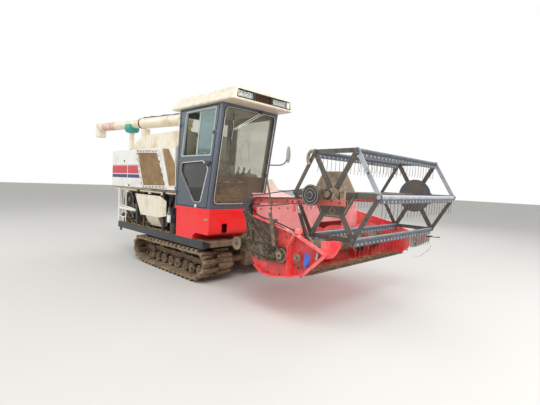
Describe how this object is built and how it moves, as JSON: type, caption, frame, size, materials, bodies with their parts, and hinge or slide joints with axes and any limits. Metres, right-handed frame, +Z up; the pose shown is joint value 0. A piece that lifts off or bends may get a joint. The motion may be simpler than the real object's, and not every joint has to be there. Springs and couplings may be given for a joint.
{
  "type": "tracked combine harvester",
  "caption": "Rubber-tracked combine harvester with a cab, a tined pick-up reel header that lifts, and a swinging unloading auger.",
  "frame": {"origin": "on the ground below the middle of the overall box", "axes": "+X forward to the header, +Y to the machine's left, +Z up"},
  "size_m": [6.1674, 2.242, 2.6],
  "materials": {
    "black_paint": "worn semi-gloss",
    "muddy_steel": "dusty, dried mud",
    "muddy_rubber": "matt, dried mud",
    "engine_iron": "painted casting",
    "cream_paint": "weathered gloss",
    "white_paint": "weathered gloss",
    "red_paint": "weathered gloss",
    "faded_red_paint": "sun-bleached",
    "slate_paint": "semi-gloss",
    "lamp_glass": "clear",
    "window_glass": "tinted",
    "seat_vinyl": "matt vinyl",
    "dark_plastic": "matt",
    "rusty_steel": "rusty, dusty",
    "tine_steel": "worn",
    "chromed_rod": "polished"
  },
  "bodies": {
    "chassis": {"main_frame": "black_paint", "drive_axle": "muddy_steel", "track_frames": "muddy_steel", "track_rollers": "muddy_steel", "sprockets": "muddy_steel", "track_right": "muddy_rubber", "track_left": "muddy_rubber", "engine": "engine_iron", "lower_drives": "muddy_steel", "thresher": "cream_paint", "grain_tank": "cream_paint", "side_panels": "cream_paint", "auger_posts": "cream_paint", "cab_base": "red_paint", "front_step": "muddy_steel", "cab_frame": "slate_paint", "cab_roof": "cream_paint", "roof_lamps": "lamp_glass", "cab_glass": "window_glass", "seat": "seat_vinyl", "console": "dark_plastic", "cab_fittings": "dark_plastic"},
    "screen": {"screen_door": "white_paint"},
    "door": {"cab_door": "slate_paint", "door_glass": "window_glass"},
    "header": {"feeder_house": "faded_red_paint", "header_trough": "faded_red_paint", "header_ends": "red_paint", "cutter_bar": "rusty_steel", "header_drives": "muddy_steel"},
    "platform": {"platform_auger": "faded_red_paint"},
    "reel_carrier": {"reel_arms": "faded_red_paint"},
    "reel": {"reel_frame": "slate_paint"},
    "tines_1": {"tine_bar_1": "tine_steel"},
    "tines_2": {"tine_bar_2": "tine_steel"},
    "tines_3": {"tine_bar_3": "tine_steel"},
    "tines_4": {"tine_bar_4": "tine_steel"},
    "tines_5": {"tine_bar_5": "tine_steel"},
    "tines_6": {"tine_bar_6": "tine_steel"},
    "header_barrel": {"header_cylinder": "black_paint"},
    "header_piston": {"header_rod": "chromed_rod"},
    "reel_barrels": {"reel_cylinders": "black_paint"},
    "reel_pistons": {"reel_rods": "chromed_rod"},
    "turret": {"auger_turret": "cream_paint"},
    "unloader": {"unloading_auger": "cream_paint"}
  },
  "joints": [
    {"name": "header_lift", "type": "hinge", "parent": "chassis", "child": "header", "pos_m": [0.2, 0.34, 1.29], "axis": [0, -1, 0], "range_deg": [-13, 6]},
    {"name": "platform_spin", "type": "hinge", "parent": "header", "child": "platform", "pos_m": [1.93, 0, 0.705], "axis": [0, 1, 0], "continuous": true},
    {"name": "reel_lift", "type": "hinge", "parent": "header", "child": "reel_carrier", "pos_m": [1.56, 0, 1.215], "axis": [0, -1, 0], "range_deg": [-7, 12]},
    {"name": "reel_spin", "type": "hinge", "parent": "reel_carrier", "child": "reel", "pos_m": [2.582, 0, 1.346], "axis": [0, 1, 0], "continuous": true},
    {"name": "tines_1_level", "type": "hinge", "parent": "reel", "child": "tines_1", "pos_m": [3.057, 0, 1.346], "axis": [0, 1, 0], "continuous": true},
    {"name": "tines_2_level", "type": "hinge", "parent": "reel", "child": "tines_2", "pos_m": [2.8195, 0, 1.75736], "axis": [0, 1, 0], "continuous": true},
    {"name": "tines_3_level", "type": "hinge", "parent": "reel", "child": "tines_3", "pos_m": [2.3445, 0, 1.75736], "axis": [0, 1, 0], "continuous": true},
    {"name": "tines_4_level", "type": "hinge", "parent": "reel", "child": "tines_4", "pos_m": [2.107, 0, 1.346], "axis": [0, 1, 0], "continuous": true},
    {"name": "tines_5_level", "type": "hinge", "parent": "reel", "child": "tines_5", "pos_m": [2.3445, 0, 0.93464], "axis": [0, 1, 0], "continuous": true},
    {"name": "tines_6_level", "type": "hinge", "parent": "reel", "child": "tines_6", "pos_m": [2.8195, 0, 0.93464], "axis": [0, 1, 0], "continuous": true},
    {"name": "header_cylinder_pivot", "type": "hinge", "parent": "chassis", "child": "header_barrel", "pos_m": [0.57, 0.34, 0.52], "axis": [0, -1, 0], "range_deg": [-21, 10]},
    {"name": "header_rod_slide", "type": "slide", "parent": "header_barrel", "child": "header_piston", "axis": [0.9839, 0, 0.1789], "range_m": [-0.19, 0.09]},
    {"name": "reel_cylinder_pivot", "type": "hinge", "parent": "header", "child": "reel_barrels", "pos_m": [2.33, 0, 0.88], "axis": [0, -1, 0], "range_deg": [-5.5, 3.5]},
    {"name": "reel_rod_slide", "type": "slide", "parent": "reel_barrels", "child": "reel_pistons", "axis": [-0.4073, 0, 0.9133], "range_m": [-0.08, 0.135]},
    {"name": "cab_door_swing", "type": "hinge", "parent": "chassis", "child": "door", "pos_m": [-0.127, -0.9705, 1.735], "axis": [-0.0577, 0, -0.9983], "range_deg": [0, 95]},
    {"name": "screen_swing", "type": "hinge", "parent": "chassis", "child": "screen", "pos_m": [-1.4135, -0.98, 1.5815], "axis": [0.3706, 0, -0.9288], "range_deg": [0, 100]},
    {"name": "unloader_swing", "type": "hinge", "parent": "chassis", "child": "turret", "pos_m": [-0.56, -0.6, 2.17], "axis": [0, 0, 1], "range_deg": [0, 95]},
    {"name": "unloader_lift", "type": "hinge", "parent": "turret", "child": "unloader", "pos_m": [-0.56, -0.6, 2.4], "axis": [-0.1719, 0.9851, 0], "range_deg": [0, 30]}
  ],
  "couplings": [
    {"joint": "tines_1_level", "follows": "reel_spin", "ratio": -1},
    {"joint": "tines_2_level", "follows": "reel_spin", "ratio": -1},
    {"joint": "tines_3_level", "follows": "reel_spin", "ratio": -1},
    {"joint": "tines_4_level", "follows": "reel_spin", "ratio": -1},
    {"joint": "tines_5_level", "follows": "reel_spin", "ratio": -1},
    {"joint": "tines_6_level", "follows": "reel_spin", "ratio": -1},
    {"joint": "header_cylinder_pivot", "follows": "header_lift", "ratio": 1.59},
    {"joint": "header_rod_slide", "follows": "header_lift", "m_per_rad": 0.785},
    {"joint": "reel_cylinder_pivot", "follows": "reel_lift", "ratio": -0.41},
    {"joint": "reel_rod_slide", "follows": "reel_lift", "m_per_rad": 0.57}
  ]
}
